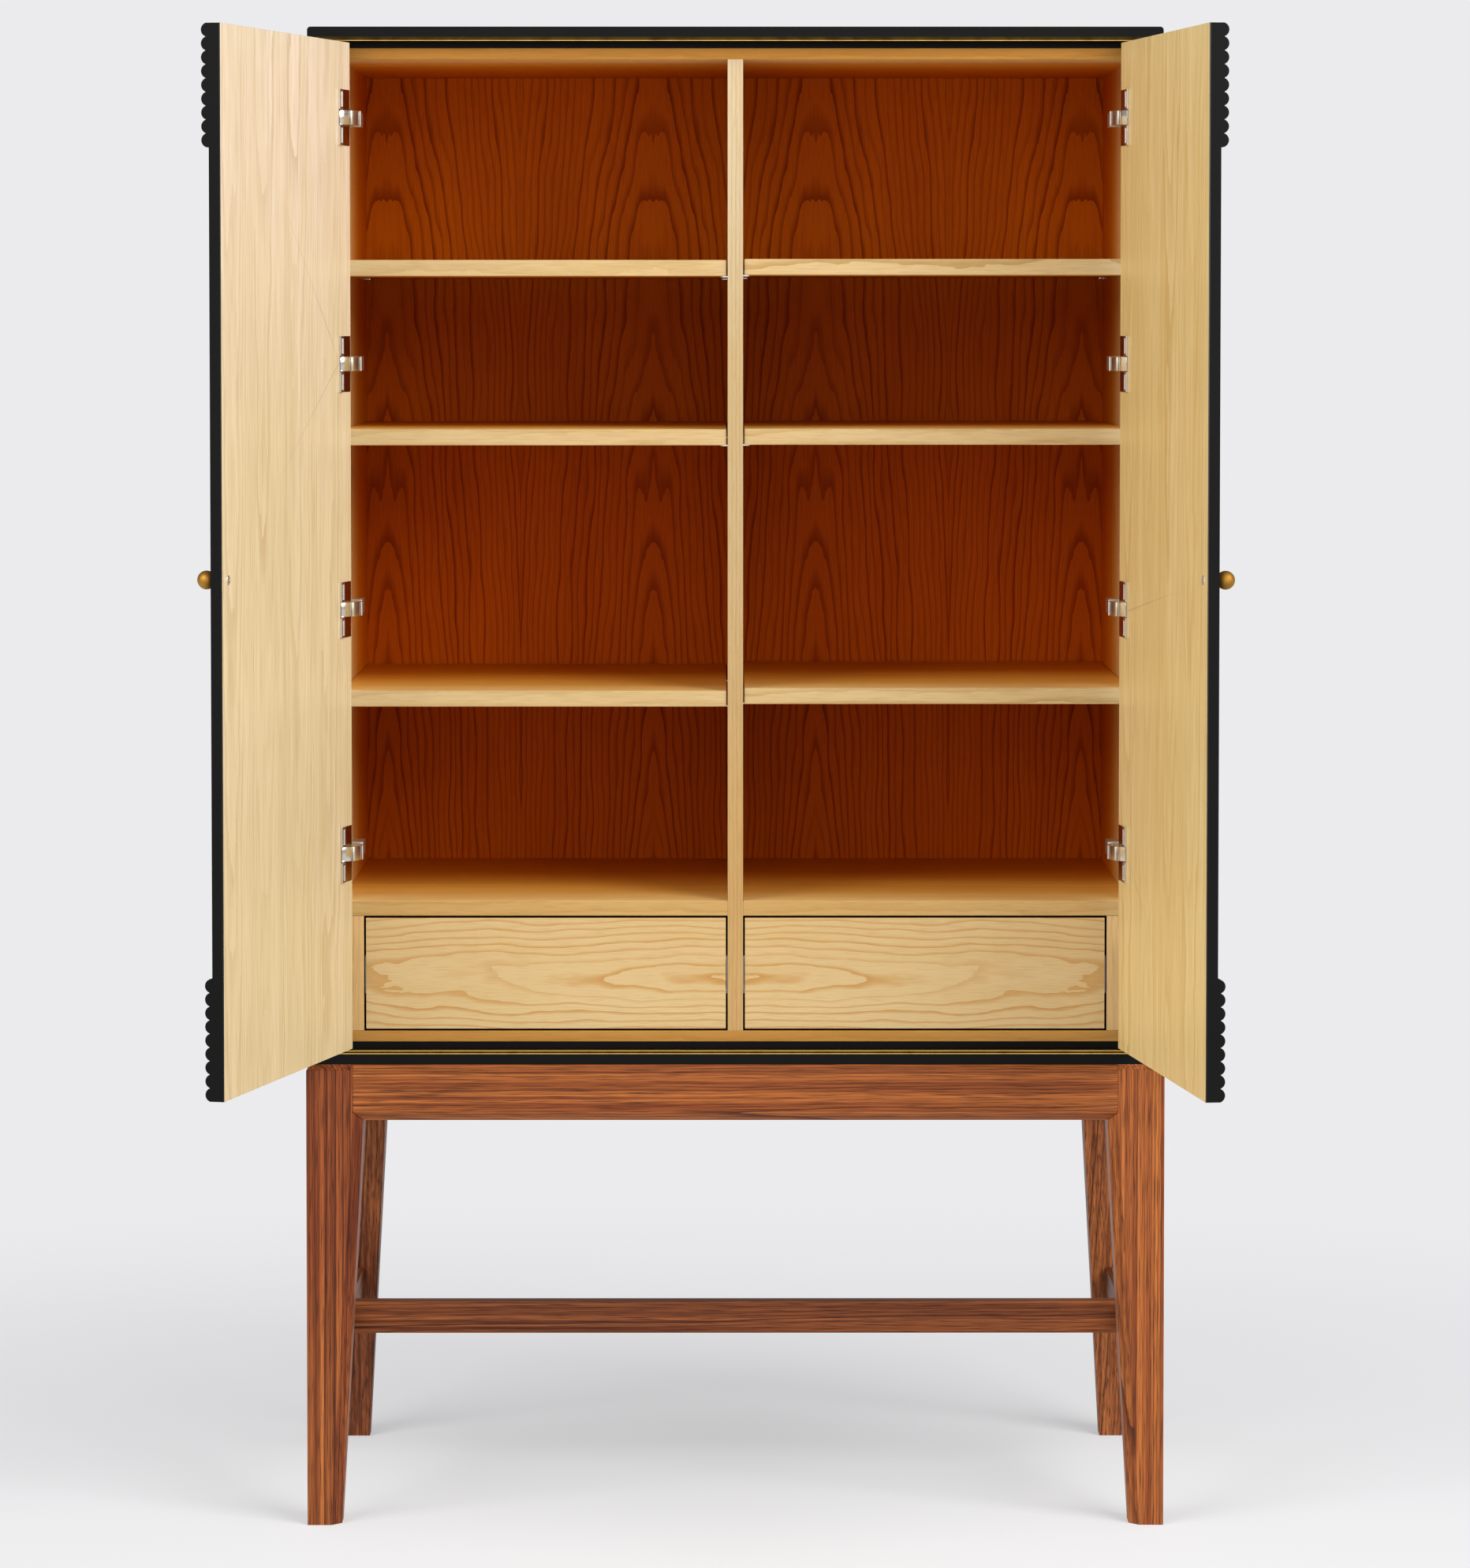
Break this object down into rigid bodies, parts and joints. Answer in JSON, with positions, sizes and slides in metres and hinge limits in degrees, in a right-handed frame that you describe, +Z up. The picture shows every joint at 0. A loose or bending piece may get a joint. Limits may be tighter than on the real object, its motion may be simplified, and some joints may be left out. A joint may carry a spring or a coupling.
{
  "type": "cabinet on stand",
  "caption": "Tall lacquered cabinet with an ash-lined interior, reeded doors on concealed hinges, drawers behind them and peg shelves, on a tapered walnut stand with stretchers.",
  "frame": {"origin": "middle of the sole of the front left foot, on the floor", "axes": "+X to the right as seen from the front, +Y to the back, +Z up; the front looks along -Y"},
  "size_m": [1.1368, 1.0602, 1.763],
  "materials": {
    "walnut": "satin",
    "black_lacquer": "satin lacquer",
    "ash": "satin",
    "aged_brass": "satin",
    "nickel_steel": "satin nickel"
  },
  "bodies": {
    "cabinet": {"apron_front": "walnut", "apron_left": "walnut", "apron_rear": "walnut", "apron_right": "walnut", "brass_line": "aged_brass", "case_back": "black_lacquer", "case_bottom": "black_lacquer", "case_left": "black_lacquer", "case_right": "black_lacquer", "case_top": "black_lacquer", "decks": "ash", "divider": "ash", "drawer_packers": "ash", "hinge_arms_left": "nickel_steel", "hinge_arms_right": "nickel_steel", "leg_front_left": "walnut", "leg_front_right": "walnut", "leg_rear_left": "walnut", "leg_rear_right": "walnut", "liner_back": "ash", "liner_bottom": "ash", "liner_left": "ash", "liner_right": "ash", "liner_top": "ash", "runner_channels": "nickel_steel", "shelf_pegs": "nickel_steel", "stretcher_cross": "walnut", "stretcher_left": "walnut", "stretcher_right": "walnut"},
    "left_door": {"door_board_left": "black_lacquer", "door_lining_left": "ash", "knob_left": "aged_brass", "knob_screw_left": "nickel_steel", "hinge_cups_left": "nickel_steel"},
    "left_first_leaves": {"hinge_leaves_first_left": "nickel_steel"},
    "left_second_leaves": {"hinge_leaves_second_left": "nickel_steel"},
    "left_drawer": {"drawer_front_left": "ash", "drawer_sides_left": "ash", "drawer_back_left": "ash", "drawer_bottom_left": "ash", "drawer_bars_left": "nickel_steel"},
    "left_high_shelf": {"shelf_high_left": "ash"},
    "left_mid_shelf": {"shelf_mid_left": "ash"},
    "left_low_shelf": {"shelf_low_left": "ash"},
    "right_door": {"door_board_right": "black_lacquer", "door_lining_right": "ash", "knob_right": "aged_brass", "knob_screw_right": "nickel_steel", "hinge_cups_right": "nickel_steel"},
    "right_first_leaves": {"hinge_leaves_first_right": "nickel_steel"},
    "right_second_leaves": {"hinge_leaves_second_right": "nickel_steel"},
    "right_drawer": {"drawer_front_right": "ash", "drawer_sides_right": "ash", "drawer_back_right": "ash", "drawer_bottom_right": "ash", "drawer_bars_right": "nickel_steel"},
    "right_high_shelf": {"shelf_high_right": "ash"},
    "right_mid_shelf": {"shelf_mid_right": "ash"},
    "right_low_shelf": {"shelf_low_right": "ash"}
  },
  "joints": [
    {"name": "left_door_swing", "type": "hinge", "parent": "cabinet", "child": "left_door", "pos_m": [0.0098, -0.017, 1.1545], "axis": [0, 0, -1], "range_deg": [-103.3, 6.7]},
    {"name": "left_first_leaf_swing", "type": "hinge", "parent": "cabinet", "child": "left_first_leaves", "pos_m": [0.0098, -0.017, 1.1545], "axis": [0, 0, -1], "range_deg": [-34.93, 2.73]},
    {"name": "left_second_leaf_swing", "type": "hinge", "parent": "cabinet", "child": "left_second_leaves", "pos_m": [0.0098, -0.017, 1.1545], "axis": [0, 0, -1], "range_deg": [-69.37, 4.97]},
    {"name": "left_drawer_slide", "type": "slide", "parent": "cabinet", "child": "left_drawer", "axis": [0, -1, 0], "range_m": [0, 0.4]},
    {"name": "left_high_shelf_lift", "type": "slide", "parent": "cabinet", "child": "left_high_shelf", "axis": [0, 0, 1], "range_m": [0, 0.04]},
    {"name": "left_mid_shelf_lift", "type": "slide", "parent": "cabinet", "child": "left_mid_shelf", "axis": [0, 0, 1], "range_m": [0, 0.04]},
    {"name": "left_low_shelf_lift", "type": "slide", "parent": "cabinet", "child": "left_low_shelf", "axis": [0, 0, 1], "range_m": [0, 0.04]},
    {"name": "right_door_swing", "type": "hinge", "parent": "cabinet", "child": "right_door", "pos_m": [0.9602, -0.017, 1.1545], "axis": [0, 0, 1], "range_deg": [-97.6, 12.4]},
    {"name": "right_first_leaf_swing", "type": "hinge", "parent": "cabinet", "child": "right_first_leaves", "pos_m": [0.9602, -0.017, 1.1545], "axis": [0, 0, 1], "range_deg": [-33.03, 4.63]},
    {"name": "right_second_leaf_swing", "type": "hinge", "parent": "cabinet", "child": "right_second_leaves", "pos_m": [0.9602, -0.017, 1.1545], "axis": [0, 0, 1], "range_deg": [-65.57, 8.77]},
    {"name": "right_drawer_slide", "type": "slide", "parent": "cabinet", "child": "right_drawer", "axis": [0, -1, 0], "range_m": [0, 0.4]},
    {"name": "right_high_shelf_lift", "type": "slide", "parent": "cabinet", "child": "right_high_shelf", "axis": [0, 0, 1], "range_m": [0, 0.04]},
    {"name": "right_mid_shelf_lift", "type": "slide", "parent": "cabinet", "child": "right_mid_shelf", "axis": [0, 0, 1], "range_m": [0, 0.04]},
    {"name": "right_low_shelf_lift", "type": "slide", "parent": "cabinet", "child": "right_low_shelf", "axis": [0, 0, 1], "range_m": [0, 0.04]}
  ],
  "couplings": [
    {"joint": "left_first_leaf_swing", "follows": "left_door_swing", "ratio": 0.33333},
    {"joint": "left_second_leaf_swing", "follows": "left_door_swing", "ratio": 0.66667},
    {"joint": "right_first_leaf_swing", "follows": "right_door_swing", "ratio": 0.33333},
    {"joint": "right_second_leaf_swing", "follows": "right_door_swing", "ratio": 0.66667}
  ]
}
